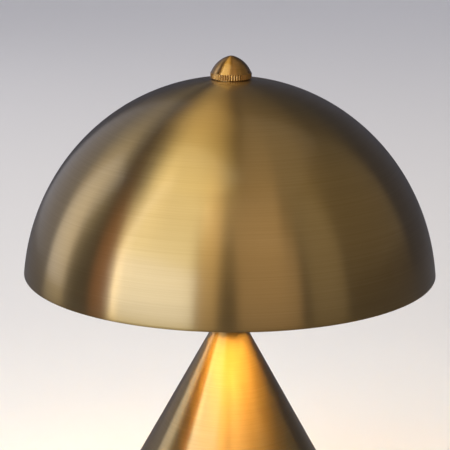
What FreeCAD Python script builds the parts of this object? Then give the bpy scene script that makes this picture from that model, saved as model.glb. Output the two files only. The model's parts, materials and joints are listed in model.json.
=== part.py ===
"""Desk lamp with a spun brass dome shade, a knurled finial and a cone-shaped base.

The shade hangs on a wire harp that stands beside a single bulb, and the finial screws it down.
Millimetres, +Z up. The origin is on the table, on the lamp's axis. -Y is the front, +Y the back,
where the cord's inlet is. The harp stands in the XZ plane.
"""
import FreeCAD
import Part
import math
import os

V = FreeCAD.Vector
UP = V(0, 0, 1)

# ---------------------------------------------------------------- shade
rim_radius = 150.0            # outer radius of the dome at its rim
dome_height = 140.8           # rim plane to the outer top
equator_below_rim = 15.4      # the dome stops this far above its widest line
shade_wall = 1.0              # spun sheet
rim_chamfer = 0.35            # broken edges of the cut rim
shade_hole_clearance = 0.6    # shade's top hole over the harp's stud, on the radius

# ---------------------------------------------------------------- cone base
base_radius = 108.0           # outer radius of the cone at its lower edge
cone_half_angle = 28.35       # degrees, between its axis and its side
cone_edge_z = 2.0             # lower edge, just off the table
cone_wall = 1.1
neck_radius = 10.6            # outer radius of the cone's flat top
neck_edge = 0.8               # height of the neck's rounded edge
neck_edge_bulge = 0.2
rim_above_apex = 21.9         # shade rim above the point where the cone's sides would meet

# ---------------------------------------------------------------- foot
felt_thickness = 2.5
felt_inset = 2.0              # felt smaller than the cover plate, on the radius
cover_thickness = 1.5
cover_clearance = 0.8         # cover plate inside the cone, on the radius
weight_thickness = 8.0
weight_clearance = 0.15       # tapered edge of the weight to the cone's inside
hub_radius = 24.0             # thick middle of the weight
hub_web = 6.5                 # iron left above the nut's recess
recess_radius = 15.0          # room for the nut under the weight
cable_room = 7.0              # space for the flex between the cover and the nut
tube_below_nut = 1.0
channel_width = 14.0          # way for the flex under the weight
cover_screw_circle = 60.0     # radius of the circle of cover screws
cover_screw_angles = (30.0, 150.0, 270.0)
cover_screw_radius = 1.45
cover_screw_length = 8.0
cover_screw_head_radius = 2.9
cover_screw_head_depth = 1.4
screw_clearance = 0.1

# ---------------------------------------------------------------- threaded tube and its nuts
tube_radius = 5.0             # M10 threaded tube
tube_bore_radius = 3.6
tube_in_socket = 7.0          # tube reaches this far into the socket's hub
thread_clearance = 0.05
nut_across_flats = 14.0
nut_height = 4.0
washer_thickness = 1.5
base_washer_radius = 12.5
neck_washer_clearance = 1.0   # neck washer inside the cone, on the radius

# ---------------------------------------------------------------- cord inlet
inlet_z = 11.5                # height of the inlet's axis
inlet_bore_radius = 3.6       # for a 7 mm flex
inlet_barrel_radius = 5.5
inlet_flange_radius = 7.0
inlet_flange_thickness = 1.6
inlet_lip_radius = 6.4
inlet_reach_in = 10.0         # barrel inside the cone's face
inlet_reach_out = 6.0         # barrel outside it
inlet_clearance = 0.1

# ---------------------------------------------------------------- dish and harp saddle
dish_radius = 26.0
dish_wall = 1.0
dish_height = 6.0
dish_corner = 1.6
saddle_thickness = 2.0
saddle_width = 14.0
saddle_flat = 15.0            # half length of its flat middle
saddle_rise = 11.0            # its arms climb this much
saddle_tab = 10.0             # length of the flat end of each arm
post_collar_radius = 4.5
post_collar_height = 5.0
post_stub_height = 7.0

# ---------------------------------------------------------------- harp
harp_wire_radius = 2.0
harp_foot_x = 30.0            # legs' distance from the axis at the feet
harp_side_x = 55.0            # and beside the bulb
harp_foot_straight = 25.0     # straight leg that the sleeve slides on
harp_knee_height = 34.0       # height over which a leg spreads
harp_knee_bend = 16.0
harp_shoulder_bend = 44.0
harp_foot_gap = 0.1           # leg over its post
sleeve_radius = 4.2
sleeve_length = 16.0
sleeve_clearance = 0.15
sleeve_gap = 0.1              # sleeve over the post's collar
hub_block_radius = 5.0        # block that the harp's top wire runs through
hub_block_below = 4.5         # block below the wire's middle
hub_block_above = 4.0         # and above it
hub_block_clearance = 0.02
platform_radius = 11.0
platform_thickness = 2.0
stud_radius = 3.0             # M6
stud_length = 12.0            # above the platform

# ---------------------------------------------------------------- washers and finial
seat_washer_thickness = 1.0   # felt washer under the shade
seat_washer_radius = 10.5
seat_gap = 0.1
finial_radius = 14.76         # over the knurl
knurl_height = 4.6
knurl_count = 48
knurl_groove_radius = 0.55
knurl_depth = 0.36
finial_edge_chamfer = 0.4
finial_gap = 0.15             # finial's edge over the dome
cap_height = 11.8             # pointed cap above the knurl
cap_bulge = 1.85              # how far its side stands out from a straight line
cap_tip_radius = 2.2          # where the rounded tip starts
cap_tip_drop = 0.35           # height of the rounded tip
finial_washer_radius = 12.0
finial_washer_thickness = 1.3
finial_washer_play = 0.1
finial_bore_spare = 1.5       # bore goes this far past the stud

# ---------------------------------------------------------------- socket
socket_hub_radius = 8.0
socket_hub_height = 8.0
socket_radius = 17.2          # outside of the lower cap
socket_wall = 0.8
socket_flare_height = 5.0
socket_cap_height = 18.5
shell_clearance = 0.1
shell_wall = 0.7
shell_above_screw = 2.0       # shell's mouth above the screw shell
liner_clearance = 0.2
liner_wall = 0.7
mechanism_clearance = 0.2
mechanism_spigot_radius = 7.0
mechanism_shoulder = 14.0     # its wide part starts this far above the socket's foot
mechanism_height = 15.0
screw_shell_radius = 13.5     # inside of the threaded shell
screw_shell_wall = 0.6
screw_shell_height = 26.0
screw_shell_hole = 6.0
contact_width = 5.0
contact_length = 8.0
contact_thickness = 0.6
contact_rise = 1.8
contact_crest_end = 2.0       # its raised end lies this far past the axis
contact_crest_start = 1.0     # and starts this far before it
terminal_screw_radius = 2.4
terminal_screw_length = 3.0
terminal_sink = 2.0           # its head lies this far inside the mechanism's flank

# ---------------------------------------------------------------- turn key of the switch
key_axis_up = 8.0             # above the mechanism's shoulder
key_hole_radius = 3.0
shaft_radius = 1.5
shaft_clearance = 0.08
shaft_depth = 8.0             # length inside the mechanism
key_gap = 3.0                 # key's hub outside the shell
key_hub_radius = 3.4
key_hub_length = 5.0
key_width = 13.0
key_thickness = 3.6
key_length = 15.0
key_corner = 3.0
shaft_in_key = 9.0

# ---------------------------------------------------------------- bulb
bulb_radius = 30.0
bulb_length = 105.6
bulb_neck_radius = 13.0
bulb_glass_wall = 0.8
bulb_cap_radius = 13.15       # over the thread
bulb_cap_height = 20.0
bulb_cap_wall = 0.6
bulb_thread_pitch = 3.62
bulb_thread_depth = 0.9
bulb_insulator_height = 4.0
bulb_tip_radius = 4.8
bulb_tip_face_radius = 3.4    # flat face of the tip
bulb_tip_height = 1.6
bulb_gap = 0.15               # tip over the socket's contact

# ---------------------------------------------------------------- worked out: heights and radii
lean = math.radians(cone_half_angle)
slope = math.tan(lean)
apex_z = cone_edge_z + base_radius / slope
neck_z = apex_z - neck_radius / slope
rim_z = apex_z + rim_above_apex
dome_top_z = rim_z + dome_height
dome_centre_z = rim_z - equator_below_rim
dome_b = dome_height + equator_below_rim
dome_a = rim_radius / math.sqrt(1 - (equator_below_rim / dome_b) ** 2)

cover_z = felt_thickness
weight_z = cover_z + cover_thickness
base_nut_z = weight_z + cable_room
recess_z = base_nut_z + nut_height + washer_thickness
hub_z = recess_z + hub_web

saddle_z = neck_z + dish_wall
socket_z = saddle_z + saddle_thickness
tab_z = saddle_z + saddle_rise + saddle_thickness
post_z = tab_z + post_collar_height
post_top_z = post_z + post_stub_height
harp_foot_z = post_top_z + harp_foot_gap

shoulder_z = socket_z + mechanism_shoulder
mechanism_z = shoulder_z + mechanism_height
screw_top_z = mechanism_z + screw_shell_height
shell_top_z = screw_top_z + shell_above_screw
shell_radius = socket_radius - socket_wall - shell_clearance
liner_radius = shell_radius - shell_wall - liner_clearance
mechanism_radius = liner_radius - liner_wall - mechanism_clearance
key_z = shoulder_z + key_axis_up
bulb_z = mechanism_z + contact_thickness + contact_rise + bulb_gap
bulb_cap_z = bulb_z + bulb_tip_height + bulb_insulator_height
bulb_cap_top_z = bulb_cap_z + bulb_cap_height
bulb_centre_z = bulb_z + bulb_length - bulb_radius


def dome_z(radius, inset=0.0):
    """Height of the dome's surface at a radius, inset from the outside by a wall."""
    return dome_centre_z + (dome_b - inset) * math.sqrt(1 - (radius / (dome_a - inset)) ** 2)


def cone_radius(z, inset=0.0):
    """Radius of the cone's surface at a height, inset square to its side."""
    return (apex_z - z) * slope - inset / math.cos(lean)


seat_top_z = dome_z(seat_washer_radius, shade_wall) - seat_gap
platform_z = seat_top_z - seat_washer_thickness
harp_top_z = platform_z - platform_thickness - hub_block_above
stud_top_z = platform_z + stud_length
finial_z = dome_z(finial_radius) + finial_gap
knurl_top_z = finial_z + knurl_height
finial_washer_z = dome_top_z + finial_washer_play
finial_recess_z = finial_washer_z + finial_washer_thickness + finial_washer_play


# ---------------------------------------------------------------- ways to make a solid
def p(x, z):
    """A point of an outline in the XZ plane."""
    return V(x, 0, z)


def line(a, b):
    return Part.LineSegment(a, b).toShape()


def arc(a, middle, b):
    return Part.Arc(a, middle, b).toShape()


def outline(*points):
    """Closed straight-sided outline."""
    return [line(a, b) for a, b in zip(points, points[1:] + points[:1])]


def spun(edges):
    """Solid turned from a closed outline about the lamp's axis."""
    face = Part.Face(Part.Wire(Part.__sortEdges__(edges)))
    return face.revolve(V(0, 0, 0), UP, 360)


def ring(outer, inner, low, high):
    """Flat-ended round ring on the axis."""
    return spun(outline(p(inner, low), p(outer, low), p(outer, high), p(inner, high)))


def disc(radius, low, high):
    return Part.makeCylinder(radius, high - low, V(0, 0, low))


def rod(radius, start, end):
    """Round rod between two points."""
    return Part.makeCylinder(radius, (end - start).Length, start, end - start)


def bulged(a, b, bulge):
    """Arc from a to b that stands out from the straight line by bulge, on its right side."""
    middle = (a + b) * 0.5
    along = (b - a).normalize()
    return arc(a, middle + V(along.z, 0, -along.x) * bulge, b)


def rounded_path(points, bends):
    """Straight runs through points, joined by tangent arcs of the given radii at the inner points."""
    edges, start = [], points[0]
    for before, corner, after, radius in zip(points, points[1:], points[2:], bends):
        back = (before - corner).normalize()
        on = (after - corner).normalize()
        half = back.getAngle(on) / 2
        setback = radius / math.tan(half)
        first, last = corner + back * setback, corner + on * setback
        centre = corner + (back + on).normalize() * (radius / math.sin(half))
        nearest = centre + (corner - centre).normalize() * radius
        edges += [line(start, first), arc(first, nearest, last)]
        start = last
    return Part.Wire(edges + [line(start, points[-1])])


def hexagon(across_flats, low, high):
    """Hexagonal prism on the axis."""
    sides = 6
    corner = across_flats / 2 / math.cos(math.pi / sides)
    turns = [2 * math.pi * i / sides for i in range(sides)]
    points = [V(corner * math.cos(t), corner * math.sin(t), low) for t in turns]
    return Part.Face(Part.makePolygon(points + points[:1])).extrude(V(0, 0, high - low))


def dome_arc(inset, low_z, hole_radius):
    """The dome's outline from a height near the rim up to the hole at its top."""
    a, b = dome_a - inset, dome_b - inset
    centre = p(0, dome_centre_z)
    top, side = p(0, dome_centre_z + b), p(a, dome_centre_z)
    curve = Part.Ellipse(*((top, side) if b > a else (side, top)), centre)
    low_radius = a * math.sqrt(1 - ((low_z - dome_centre_z) / b) ** 2)
    low, high = p(low_radius, low_z), p(hole_radius, dome_z(hole_radius, inset))
    ends = sorted(curve.parameter(point) for point in (low, high))
    return Part.ArcOfEllipse(curve, *ends).toShape(), low, high


def cone_band(inner, outer, low, high):
    """Skin between two offsets of the cone's surface, positive inwards."""
    return spun(outline(p(cone_radius(low, inner), low), p(cone_radius(low, outer), low),
                        p(cone_radius(high, outer), high), p(cone_radius(high, inner), high)))


# ---------------------------------------------------------------- shade and finial
def dome_shade():
    hole = stud_radius + shade_hole_clearance
    outside, out_low, out_high = dome_arc(0, rim_z + rim_chamfer, hole)
    inside, in_low, in_high = dome_arc(shade_wall, rim_z + rim_chamfer, hole)
    foot_out = p(out_low.x - rim_chamfer, rim_z)
    foot_in = p(in_low.x + rim_chamfer, rim_z)
    return spun([outside, inside, line(out_low, foot_out), line(foot_out, foot_in),
                 line(foot_in, in_low), line(out_high, in_high)])


def finial():
    """Turned cap nut: a knurled band under a pointed cap, bored for the stud from below."""
    shoulder = finial_radius - knurl_depth
    recess_edge = finial_washer_radius + finial_washer_play
    under_z = dome_z(recess_edge) + finial_gap
    tip_z = knurl_top_z + cap_height
    tip_edge = p(cap_tip_radius, tip_z - cap_tip_drop)
    tip_ball = (cap_tip_radius ** 2 + cap_tip_drop ** 2) / 2 / cap_tip_drop
    tip_mid_x = cap_tip_radius / 2
    tip_mid = p(tip_mid_x, tip_z - tip_ball + math.sqrt(tip_ball ** 2 - tip_mid_x ** 2))
    chamfer_in = finial_radius - finial_edge_chamfer
    turned = spun([
        line(p(0, under_z), p(recess_edge, under_z)),
        line(p(recess_edge, under_z), p(chamfer_in, finial_z)),
        line(p(chamfer_in, finial_z), p(finial_radius, finial_z + finial_edge_chamfer)),
        line(p(finial_radius, finial_z + finial_edge_chamfer), p(finial_radius, knurl_top_z)),
        line(p(finial_radius, knurl_top_z), p(shoulder, knurl_top_z)),
        bulged(p(shoulder, knurl_top_z), tip_edge, cap_bulge),
        arc(tip_edge, tip_mid, p(0, tip_z)),
        line(p(0, tip_z), p(0, under_z)),
    ])
    grooves = []
    groove_at = finial_radius - knurl_depth + knurl_groove_radius
    for i in range(knurl_count):
        turn = 2 * math.pi * i / knurl_count
        foot = V(groove_at * math.cos(turn), groove_at * math.sin(turn), finial_z)
        grooves.append(Part.makeCylinder(knurl_groove_radius, knurl_height, foot))
    recess = disc(recess_edge, finial_z, finial_recess_z)
    bore = disc(stud_radius + thread_clearance, finial_z, stud_top_z + finial_bore_spare)
    return turned.cut(grooves + [recess, bore])


def finial_washer():
    return ring(finial_washer_radius, stud_radius + thread_clearance,
                finial_washer_z, finial_washer_z + finial_washer_thickness)


def shade_seat_washer():
    return ring(seat_washer_radius, stud_radius + thread_clearance, platform_z, seat_top_z)


# ---------------------------------------------------------------- harp
def harp_wire():
    """Bent wire: two legs that spread round the bulb and close in a straight top."""
    knee_z = harp_foot_z + harp_foot_straight
    right = [p(harp_foot_x, harp_foot_z), p(harp_foot_x, knee_z),
             p(harp_side_x, knee_z + harp_knee_height), p(harp_side_x, harp_top_z)]
    left = [p(-point.x, point.z) for point in reversed(right)]
    bends = [harp_knee_bend, harp_knee_bend, harp_shoulder_bend]
    path = rounded_path(right + left, bends + bends[::-1])
    section = Part.Wire(Part.makeCircle(harp_wire_radius, right[0], UP))
    return path.makePipeShell([section], True, True)


def harp_top_fitting():
    """Block on the harp's top wire, with the platform and the threaded stud in one piece."""
    block = disc(hub_block_radius, harp_top_z - hub_block_below, platform_z - platform_thickness)
    platform = disc(platform_radius, platform_z - platform_thickness, platform_z)
    stud = disc(stud_radius, platform_z, stud_top_z)
    reach = V(hub_block_radius * 2, 0, 0)
    cross_bore = rod(harp_wire_radius + hub_block_clearance,
                     p(0, harp_top_z) - reach, p(0, harp_top_z) + reach)
    return block.fuse([platform, stud]).cut(cross_bore).removeSplitter()


def harp_saddle():
    """Strap under the socket: its arms climb out of the dish and carry the two posts."""
    tab_start = harp_foot_x - saddle_tab / 2
    tab_end = harp_foot_x + saddle_tab / 2
    low, high = saddle_z, saddle_z + saddle_rise
    under = [p(saddle_flat, low), p(tab_start, high), p(tab_end, high)]
    over = [p(point.x, point.z + saddle_thickness) for point in reversed(under)]
    right = under + over
    left = [p(-point.x, point.z) for point in reversed(right)]
    side = Part.Face(Part.Wire(Part.__sortEdges__(outline(*(right + left)))))
    side.translate(V(0, -saddle_width / 2, 0))
    strap = side.extrude(V(0, saddle_width, 0))
    posts = []
    for x in (harp_foot_x, -harp_foot_x):
        collar = Part.makeCylinder(post_collar_radius, post_collar_height, p(x, tab_z))
        stub = Part.makeCylinder(harp_wire_radius, post_stub_height, p(x, post_z))
        posts += [collar, stub]
    hole = disc(tube_radius + thread_clearance, low, socket_z)
    return strap.fuse(posts).cut(hole).removeSplitter()


def harp_sleeve(side):
    """Ferrule that locks a leg of the harp to its post."""
    foot = p(side * harp_foot_x, post_z + sleeve_gap)
    body = Part.makeCylinder(sleeve_radius, sleeve_length, foot)
    return body.cut(Part.makeCylinder(harp_wire_radius + sleeve_clearance, sleeve_length, foot))


# ---------------------------------------------------------------- cone base
def base_cone():
    """Spun cone with a flat top, open below, with the tube's hole and the cord inlet's hole."""
    neck_in_z = neck_z - cone_wall
    hole = tube_radius + thread_clearance
    rounded_z = neck_z - neck_edge
    outer_edge = p(cone_radius(rounded_z), rounded_z)
    top_edge = p(neck_radius - neck_edge, neck_z)
    shell = spun([
        line(p(cone_radius(cone_edge_z, cone_wall), cone_edge_z), p(base_radius, cone_edge_z)),
        line(p(base_radius, cone_edge_z), outer_edge),
        bulged(outer_edge, top_edge, neck_edge_bulge),
        line(top_edge, p(hole, neck_z)),
        line(p(hole, neck_z), p(hole, neck_in_z)),
        line(p(hole, neck_in_z), p(cone_radius(neck_in_z, cone_wall), neck_in_z)),
        line(p(cone_radius(neck_in_z, cone_wall), neck_in_z),
             p(cone_radius(cone_edge_z, cone_wall), cone_edge_z)),
    ])
    return shell.cut(inlet_rod(inlet_barrel_radius + inlet_clearance))


def inlet_rod(radius):
    """Rod along the cord inlet's axis, from inside the cone to outside."""
    face_y = cone_radius(inlet_z)
    return rod(radius, V(0, face_y - inlet_reach_in, inlet_z), V(0, face_y + inlet_reach_out, inlet_z))


def cord_bushing():
    """Moulded bushing: a barrel through the cone's back, with a flange outside and a lip inside."""
    low, high = inlet_z - inlet_flange_radius * 2, inlet_z + inlet_flange_radius * 2
    flange_skin = cone_band(-inlet_clearance, -inlet_clearance - inlet_flange_thickness, low, high)
    lip_in = cone_wall + inlet_clearance
    lip_skin = cone_band(lip_in, lip_in + inlet_flange_thickness, low, high)
    flange = inlet_rod(inlet_flange_radius).common(flange_skin)
    lip = inlet_rod(inlet_lip_radius).common(lip_skin)
    whole = inlet_rod(inlet_barrel_radius).fuse([flange, lip])
    return whole.cut(inlet_rod(inlet_bore_radius)).removeSplitter()


def base_weight():
    """Cast iron weight that wedges in the cone, with a recess for the nut and a way for the flex."""
    inset = cone_wall + weight_clearance
    top_z = weight_z + weight_thickness
    body = spun(outline(p(0, weight_z), p(cone_radius(weight_z, inset), weight_z),
                        p(cone_radius(top_z, inset), top_z), p(hub_radius, top_z),
                        p(hub_radius, hub_z), p(0, hub_z)))
    recess = disc(recess_radius, weight_z, recess_z)
    hole = disc(tube_radius + thread_clearance, weight_z, hub_z)
    start_y = math.sqrt(recess_radius ** 2 - (channel_width / 2) ** 2)
    channel = Part.makeBox(channel_width, base_radius, weight_thickness,
                           V(-channel_width / 2, start_y, weight_z))
    tapped = [Part.makeCylinder(cover_screw_radius + screw_clearance, cover_screw_length, foot)
              for foot in cover_screw_feet()]
    return body.cut([recess, hole, channel] + tapped)


def cover_screw_feet():
    """Where the cover screws' heads lie, flush with the underside of the cover."""
    turns = [math.radians(a) for a in cover_screw_angles]
    return [V(cover_screw_circle * math.cos(t), cover_screw_circle * math.sin(t), cover_z)
            for t in turns]


def cover_screw(foot, grow=0.0):
    """Countersunk screw that points up, or with grow the hole for it."""
    head = Part.makeCone(cover_screw_head_radius + grow, cover_screw_radius + grow,
                         cover_screw_head_depth, foot)
    length = cover_screw_length - 2 * screw_clearance
    return head.fuse(Part.makeCylinder(cover_screw_radius + grow, length, foot)).removeSplitter()


def cover_screws():
    return Part.makeCompound([cover_screw(foot) for foot in cover_screw_feet()])


def bottom_cover():
    plate = disc(cover_radius(), cover_z, weight_z)
    return plate.cut([cover_screw(foot, screw_clearance) for foot in cover_screw_feet()])


def cover_radius():
    return cone_radius(weight_z, cone_wall) - cover_clearance


def felt_pad():
    return disc(cover_radius() - felt_inset, 0, felt_thickness)


# ---------------------------------------------------------------- threaded tube, nuts and washers
def centre_tube():
    return ring(tube_radius, tube_bore_radius, base_nut_z - tube_below_nut, socket_z + tube_in_socket)


def hex_nut(low):
    return hexagon(nut_across_flats, low, low + nut_height).cut(
        disc(tube_radius + thread_clearance, low, low + nut_height))


def base_nut():
    return hex_nut(base_nut_z)


def base_washer():
    return ring(base_washer_radius, tube_radius + thread_clearance,
                recess_z - washer_thickness, recess_z)


def neck_washer():
    top = neck_z - cone_wall
    low = top - washer_thickness
    return ring(cone_radius(top, cone_wall) - neck_washer_clearance,
                tube_radius + thread_clearance, low, top)


def neck_nut():
    return hex_nut(neck_z - cone_wall - washer_thickness - nut_height)


# ---------------------------------------------------------------- dish and socket
def socket_dish():
    """Shallow spun dish on the cone's top."""
    hole = tube_radius + thread_clearance
    top = neck_z + dish_height
    inner = dish_radius - dish_wall
    corner_in = dish_corner - dish_wall
    return spun([
        line(p(hole, neck_z), p(dish_radius - dish_corner, neck_z)),
        round_corner(dish_radius - dish_corner, neck_z + dish_corner, dish_corner),
        line(p(dish_radius, neck_z + dish_corner), p(dish_radius, top)),
        line(p(dish_radius, top), p(inner, top)),
        line(p(inner, top), p(inner, neck_z + dish_corner)),
        round_corner(dish_radius - dish_corner, neck_z + dish_corner, corner_in),
        line(p(dish_radius - dish_corner, saddle_z), p(hole, saddle_z)),
        line(p(hole, saddle_z), p(hole, neck_z)),
    ])


def round_corner(x, z, radius):
    """Quarter arc about (x, z), from straight below it to straight outwards."""
    diagonal = radius * math.sqrt(0.5)
    return arc(p(x, z - radius), p(x + diagonal, z - diagonal), p(x + radius, z))


def socket_cap():
    """Lower half of the socket: a threaded hub that flares to a cup."""
    hub_top = socket_z + socket_hub_height
    flare_top = hub_top + socket_flare_height
    top = socket_z + socket_cap_height
    inner = socket_radius - socket_wall
    floor = hub_top + socket_wall
    return spun(outline(
        p(tube_radius + thread_clearance, socket_z), p(socket_hub_radius, socket_z),
        p(socket_hub_radius, hub_top), p(socket_radius, flare_top), p(socket_radius, top),
        p(inner, top), p(inner, flare_top), p(socket_hub_radius, floor),
        p(tube_radius + thread_clearance, floor)))


def key_hole():
    """Cutter for the turn key's opening in the shell and its liner."""
    return key_rod(key_hole_radius, mechanism_radius, socket_radius)


def socket_shell():
    low = socket_z + socket_hub_height + socket_flare_height + shell_clearance
    return ring(shell_radius, shell_radius - shell_wall, low, shell_top_z).cut(key_hole())


def socket_liner():
    low = socket_z + socket_hub_height + socket_flare_height + shell_clearance
    return ring(liner_radius, liner_radius - liner_wall, low, screw_top_z).cut(key_hole())


def switch_mechanism():
    """Moulded block under the screw shell that holds the switch."""
    foot_z = socket_z + socket_hub_height + socket_wall
    block = disc(mechanism_radius, shoulder_z, mechanism_z)
    spigot = disc(mechanism_spigot_radius, foot_z, shoulder_z)
    wire_way = disc(tube_bore_radius, foot_z, shoulder_z)
    shaft_hole = key_rod(shaft_radius + shaft_clearance,
                         mechanism_radius - shaft_depth - shaft_clearance, socket_radius)
    seat_start = mechanism_radius - terminal_sink - terminal_screw_length
    seat_radius = terminal_screw_radius + screw_clearance
    seats = [flank_rod(side, seat_radius, seat_start, socket_radius) for side in (1, -1)]
    return block.fuse(spigot).cut([wire_way, shaft_hole] + seats).removeSplitter()


def key_rod(radius, start, end):
    """Rod along the turn key's axis, between two distances from the lamp's axis."""
    return rod(radius, V(0, -start, key_z), V(0, -end, key_z))


def flank_rod(side, radius, start, end):
    """Rod along X at the key's height, between two distances from the lamp's axis."""
    return rod(radius, V(side * start, 0, key_z), V(side * end, 0, key_z))


def terminal_screws():
    """Screws sunk in the mechanism's two flanks."""
    head = mechanism_radius - terminal_sink
    tip = head - terminal_screw_length
    return Part.makeCompound([flank_rod(side, terminal_screw_radius, tip, head) for side in (1, -1)])


def screw_shell():
    """Threaded shell that takes the bulb's cap, with a floor round the contact."""
    wall = ring(screw_shell_radius + screw_shell_wall, screw_shell_radius, mechanism_z, screw_top_z)
    floor = ring(screw_shell_radius + screw_shell_wall, screw_shell_hole,
                 mechanism_z, mechanism_z + screw_shell_wall)
    return wall.fuse(floor).removeSplitter()


def centre_contact():
    """Springy tongue under the bulb's tip."""
    half = contact_length / 2
    foot_top = mechanism_z + contact_thickness
    crest = mechanism_z + contact_rise
    crest_top = crest + contact_thickness
    side = Part.Face(Part.Wire(Part.__sortEdges__(outline(
        p(-half, mechanism_z), p(half, mechanism_z), p(half, foot_top), p(0, foot_top),
        p(contact_crest_end, crest), p(contact_crest_end, crest_top),
        p(-contact_crest_start, crest_top), p(-half, foot_top)))))
    side.translate(V(0, -contact_width / 2, 0))
    return side.extrude(V(0, contact_width, 0))


# ---------------------------------------------------------------- turn key
def switch_shaft():
    start = mechanism_radius - shaft_depth
    return key_rod(shaft_radius, start, shell_radius + key_gap + shaft_in_key)


def switch_key():
    """Flat key with a round hub, pushed on the shaft."""
    start = shell_radius + key_gap
    hub = key_rod(key_hub_radius, start, start + key_hub_length)
    blade_start = start + key_hub_length / 2
    blade = Part.makeBox(key_thickness, key_length, key_width,
                         V(-key_thickness / 2, -blade_start - key_length, key_z - key_width / 2))
    corners = [edge for edge in blade.Edges if abs(edge.tangentAt(0).x) > abs(edge.tangentAt(0).z)
               + abs(edge.tangentAt(0).y)]
    blade = blade.makeFillet(key_corner, corners)
    return hub.fuse(blade).cut(key_rod(shaft_radius, start, start + shaft_in_key)).removeSplitter()


# ---------------------------------------------------------------- bulb
def bulb_contact():
    return Part.makeCone(bulb_tip_face_radius, bulb_tip_radius, bulb_tip_height, p(0, bulb_z))


def bulb_insulator():
    low = bulb_z + bulb_tip_height
    top_radius = bulb_cap_radius - bulb_thread_depth
    return Part.makeCone(bulb_tip_radius, top_radius, bulb_insulator_height, p(0, low))


def bulb_cap():
    """Screw cap: a thin shell with rolled thread ridges, open inside."""
    root = bulb_cap_radius - bulb_thread_depth
    inner = root - bulb_cap_wall
    ridges = int(bulb_cap_height / bulb_thread_pitch) - 1
    edges, at = [], p(root, bulb_cap_z)
    for i in range(ridges):
        low = bulb_cap_z + bulb_thread_pitch * (i + 0.5)
        foot, end = p(root, low), p(root, low + bulb_thread_pitch)
        edges += [line(at, foot)] if i == 0 else []
        edges.append(arc(foot, p(bulb_cap_radius, low + bulb_thread_pitch / 2), end))
        at = end
    edges += outline(at, p(root, bulb_cap_top_z), p(inner, bulb_cap_top_z), p(inner, bulb_cap_z),
                     p(root, bulb_cap_z))[:-1]
    return spun(edges)


def bulb_side(inset):
    """Outline of the glass from its neck to its top: a hollow curve that runs into the ball."""
    neck, ball = bulb_neck_radius - inset, bulb_radius - inset
    rise = bulb_centre_z - bulb_cap_top_z
    hollow = (neck ** 2 + rise ** 2 - ball ** 2) / 2 / (ball - neck)
    lean = math.atan2(rise, neck + hollow)
    meet = p(ball * math.cos(lean), bulb_centre_z - ball * math.sin(lean))
    hollow_mid = p(neck + hollow - hollow * math.cos(lean / 2),
                   bulb_cap_top_z + hollow * math.sin(lean / 2))
    ball_turn = (math.pi / 2 - lean) / 2
    ball_mid = p(ball * math.cos(ball_turn), bulb_centre_z + ball * math.sin(ball_turn))
    foot, top = p(neck, bulb_cap_top_z), p(0, bulb_centre_z + ball)
    return [arc(foot, hollow_mid, meet), arc(meet, ball_mid, top)], foot, top


def bulb_glass():
    """Thin glass, with the end of its neck inside the cap."""
    outside, foot_out, top_out = bulb_side(0)
    inside, foot_in, top_in = bulb_side(bulb_glass_wall)
    plug = bulb_cap_radius - bulb_thread_depth - bulb_cap_wall - thread_clearance
    low = bulb_cap_top_z - bulb_cap_height / 2
    steps = [foot_out, p(plug, bulb_cap_top_z), p(plug, low), p(plug - bulb_glass_wall, low),
             p(plug - bulb_glass_wall, bulb_cap_top_z + bulb_glass_wall),
             p(foot_in.x, bulb_cap_top_z + bulb_glass_wall)]
    cut_in = bulb_cap_top_z + bulb_glass_wall
    hollow = spun(inside + outline(top_in, p(0, bulb_cap_top_z), foot_in)[:-1])
    neck_hollow = disc(plug - bulb_glass_wall, low, cut_in)
    solid = spun(outside + outline(top_out, p(0, low), p(plug, low), p(plug, bulb_cap_top_z),
                                   foot_out)[:-1])
    return solid.cut([hollow.common(disc(bulb_radius, cut_in, top_in.z)), neck_hollow])


PIECES = {
    "dome_shade": dome_shade,
    "finial": finial,
    "finial_washer": finial_washer,
    "shade_seat_washer": shade_seat_washer,
    "harp_wire": harp_wire,
    "harp_top_fitting": harp_top_fitting,
    "harp_saddle": harp_saddle,
    "harp_sleeve_left": lambda: harp_sleeve(-1),
    "harp_sleeve_right": lambda: harp_sleeve(1),
    "base_cone": base_cone,
    "cord_bushing": cord_bushing,
    "base_weight": base_weight,
    "bottom_cover": bottom_cover,
    "cover_screws": cover_screws,
    "felt_pad": felt_pad,
    "centre_tube": centre_tube,
    "base_nut": base_nut,
    "base_washer": base_washer,
    "neck_washer": neck_washer,
    "neck_nut": neck_nut,
    "socket_dish": socket_dish,
    "socket_cap": socket_cap,
    "socket_shell": socket_shell,
    "socket_liner": socket_liner,
    "switch_mechanism": switch_mechanism,
    "terminal_screws": terminal_screws,
    "screw_shell": screw_shell,
    "centre_contact": centre_contact,
    "switch_shaft": switch_shaft,
    "switch_key": switch_key,
    "bulb_contact": bulb_contact,
    "bulb_insulator": bulb_insulator,
    "bulb_cap": bulb_cap,
    "bulb_glass": bulb_glass,
}

os.makedirs("parts", exist_ok=True)
for name, make in PIECES.items():
    shape = make()
    solids = shape.Solids
    if not shape.isValid() or not solids:
        raise ValueError(name + " is not a valid solid")
    whole = solids[0] if len(solids) == 1 else Part.makeCompound(solids)
    whole.exportStep("parts/" + name + ".step")
    print(f"{name}: {len(solids)} solid(s), {sum(s.Volume for s in solids) / 1000:.2f} cm3")
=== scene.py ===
# %% [markdown]
# # A dome lamp in spun brass
# The lamp is a dome of sheet brass on a wire harp, over a bulb and a cone of the same sheet.
# Its construction comes packed as a fixed frame. This file gives it surfaces, finishes and light.
# Nearly every part was made on a lathe, so nearly every piece here is a profile carried round an
# axis. That is also how a spinner or a turner would describe it.

# %% Load the frame
import json
import math

import bmesh
import bpy
import numpy as np
from mathutils import Matrix, Vector

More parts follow.
